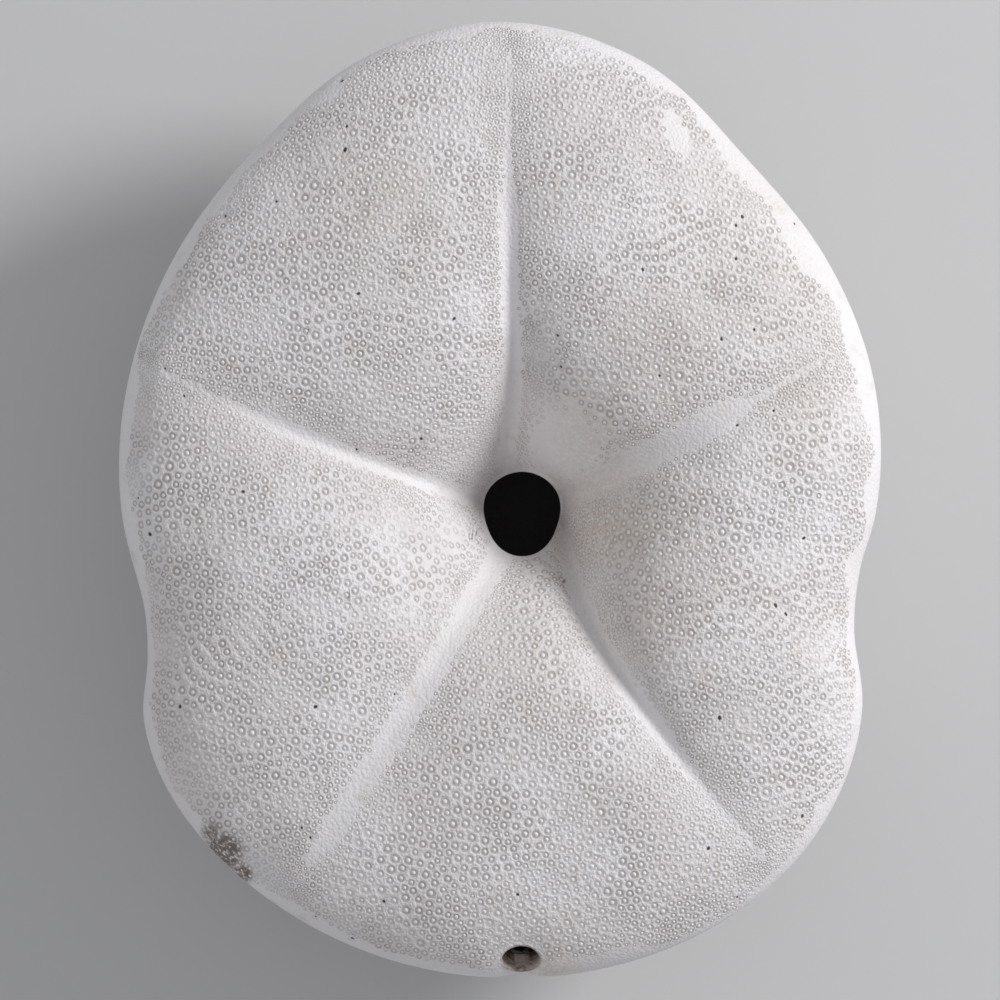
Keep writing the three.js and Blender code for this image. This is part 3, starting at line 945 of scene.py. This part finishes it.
colour = calcite.mix(calcite.math("MULTIPLY", brown_share, 0.9), colour, BROWN)
# Painted shade in the pits and pores
colour = calcite.mix(calcite.step(calcite.attribute("painted_pit_shade"), 0.62, 0.8), colour, PIT_PAINTED_SHADE)

# Slits of the pore rows, at even steps along the petal, each a sunken bump greyed with painted shade
SLIT_SPACING, SLIT_DEPTH = 1.05, 0.35
slit_wave = calcite.math(
    "SINE", calcite.math("MULTIPLY", calcite.attribute("pore_run"), TAU / SLIT_SPACING))
slit = calcite.math("MULTIPLY", calcite.step(slit_wave, 0.1, 0.75),
                    calcite.step(calcite.attribute("pore_row"), 0.35, 0.75))
colour = calcite.mix(calcite.math("MULTIPLY", slit, 0.75), colour, RECESS_PAINTED_SHADE)
colour = calcite.mix(calcite.attribute("tube"), colour, TUBE_BEIGE)
# Painted shade: the inner face is nearly black, as the closed hollow is dark through the mouth and
# vent
colour = calcite.mix(calcite.attribute("inside"), colour, INSIDE_PAINTED_SHADE)
calcite.set(calcite.shader.inputs["Base Color"], colour)

# Granules on the web between the rings, and finer grit over all, both softer where it is bare
GRANULE_SIZE, GRANULE_HEIGHT, GRIT_HEIGHT = 0.42, 0.075, 0.05
granules = calcite.add("ShaderNodeTexVoronoi", feature="F1")
calcite.set(granules.inputs["Vector"], calcite.place)
granules.inputs["Scale"].default_value = 1 / (GRANULE_SIZE * MM)
granule = calcite.step(granules.outputs["Distance"], 0.8, 0.25)
on_web = calcite.step(from_boss, 0.95, 1.15)
smoothed = calcite.step(calcite.attribute("bare"), 0.15, 0.55, 1.0, 0.6)
granule = calcite.math("MULTIPLY", calcite.math("MULTIPLY", granule, on_web), smoothed)
height = calcite.math("MULTIPLY", calcite.math("MULTIPLY_ADD", fine, 0.5, gritty), smoothed)
relief = calcite.bump(height, GRIT_HEIGHT)
relief = calcite.bump(granule, GRANULE_HEIGHT, relief)
relief = calcite.bump(slit, -SLIT_DEPTH, relief)
calcite.set(calcite.shader.inputs["Normal"], relief)
test.data.materials.append(calcite.material)
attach(test, "root")
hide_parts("test")

# ---------------------------------------------------------------------------------------------
# Tubercles: the small calcite bosses that carried the spines. One stands in each ring, a cone
# with a rounded head that rises just above the web. Those of the dome are plainer and smaller.
# ---------------------------------------------------------------------------------------------
TUBERCLE_RISE = 0.1
TUBERCLE_ROOT = 0.03
NECK_HEIGHT = 0.65
TUBERCLE_WHITE = (0.80, 0.77, 0.77, 1)
TUBERCLE_PALE = (0.88, 0.86, 0.86, 1)


def bosses(name, chosen, sides, foot, neck):
    """One boss for each chosen seed: a foot ring just below the pit's floor, a neck ring at about
    two thirds of the height, and a tip, all about the seed's normal and turned by a random angle."""
    count = len(chosen)
    turns = rng.uniform(0, TAU, (count, 1)) + circle(sides)
    outward = (tangent[chosen, None] * np.cos(turns)[..., None]
               + bitangent[chosen, None] * np.sin(turns)[..., None])
    up = seed_normals[chosen, None]
    size = rim[chosen, None, None]
    wear = 1 - 0.35 * faint[chosen] ** 2 * rng.uniform(0.3, 1, count)
    height = ((pit[chosen] + TUBERCLE_RISE) * wear)[:, None, None]
    floor = points[chosen, None]
    shape = np.concatenate([
        floor + outward * size * foot - up * TUBERCLE_ROOT,
        floor + outward * size * neck + up * height * NECK_HEIGHT,
        floor + up * height,
    ], axis=1)
    ring = np.arange(sides)
    turned = (ring + 1) % sides
    pattern = np.concatenate([
        np.stack([np.zeros(sides - 2, int), ring[2:], ring[1:-1]], -1),
        np.stack([ring, turned, sides + turned], -1),
        np.stack([ring, sides + turned, sides + ring], -1),
        np.stack([sides + ring, sides + turned, np.full(sides, 2 * sides)], -1)])
    triangles = (pattern[None] + np.arange(count)[:, None, None] * (2 * sides + 1)).reshape(-1, 3)
    shape = shape.reshape(-1, 3)
    shape[:, 2] = np.maximum(shape[:, 2], box_low[2])
    piece = make_mesh(name, shape, triangles)
    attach(piece, "root")
    return piece


polished = Nodes("tubercle calcite", 0.42)
polished_colour = polished.mix(
    polished.step(polished.noise(2.0), 0.3, 0.7), TUBERCLE_WHITE, TUBERCLE_PALE)
polished.set(polished.shader.inputs["Base Color"], polished_colour)
for name, chosen, sides, foot, neck in (
        ("mouth_side_tubercles", np.flatnonzero(full), 6, 0.64, 0.50),
        ("dome_tubercles", np.flatnonzero(studded & ~full), 5, 0.60, 0.46)):
    piece = bosses(name, chosen, sides, foot, neck)
    piece.data.materials.append(polished.material)

# ---------------------------------------------------------------------------------------------
# Studio: a plain pale floor, one large soft lamp low from the right and behind, soft light all
# round, and a camera straight above.
# ---------------------------------------------------------------------------------------------
floor_mesh = bpy.data.meshes.new("floor")
floor_mesh.from_pydata([(-3, -3, 0), (3, -3, 0), (3, 3, 0), (-3, 3, 0)], [], [(0, 1, 2, 3)])
floor = bpy.data.objects.new("floor", floor_mesh)
bpy.context.scene.collection.objects.link(floor)
paper = Nodes("floor paper", 0.8)
paper.shader.inputs["Base Color"].default_value = (0.62, 0.62, 0.625, 1)
floor.data.materials.append(paper.material)

LAMP_DISTANCE = 0.8


def lamp(name, heading, elevation, size, energy):
    """Round lamp that shines at the origin: its place is the direction of a heading and an
    elevation, in degrees, times the distance."""
    heading, elevation = math.radians(heading), math.radians(elevation)
    direction = Vector((math.cos(heading) * math.cos(elevation),
                        math.sin(heading) * math.cos(elevation), math.sin(elevation)))
    light = bpy.data.lights.new(name, "AREA")
    light.shape = "DISK"
    light.size = size
    light.energy = energy
    holder = bpy.data.objects.new(name, light)
    holder.location = direction * LAMP_DISTANCE
    holder.rotation_euler = direction.to_track_quat("Z", "Y").to_euler()
    bpy.context.scene.collection.objects.link(holder)


lamp("key", heading=25, elevation=32, size=0.26, energy=4.6)
lamp("fill", heading=190, elevation=22, size=0.5, energy=0.4)

world = bpy.data.worlds.new("studio")
world.use_nodes = True
sky = world.node_tree.nodes["Background"]
sky.inputs["Color"].default_value = (0.97, 0.98, 1.0, 1)
sky.inputs["Strength"].default_value = 0.42
bpy.context.scene.world = world
bpy.context.scene.view_settings.view_transform = "Standard"

CAMERA_HEIGHT = 1.0
FRAME_WIDTH = 0.1256
VIEWED_HEIGHT = 0.0316
SENSOR_WIDTH = 36.0
camera = bpy.data.cameras.new("camera")
camera.sensor_width = SENSOR_WIDTH
camera.lens = SENSOR_WIDTH * (CAMERA_HEIGHT - VIEWED_HEIGHT) / FRAME_WIDTH
viewer = bpy.data.objects.new("camera", camera)
viewer.location = (0.0, 0.0, CAMERA_HEIGHT)
bpy.context.scene.collection.objects.link(viewer)
bpy.context.scene.camera = viewer
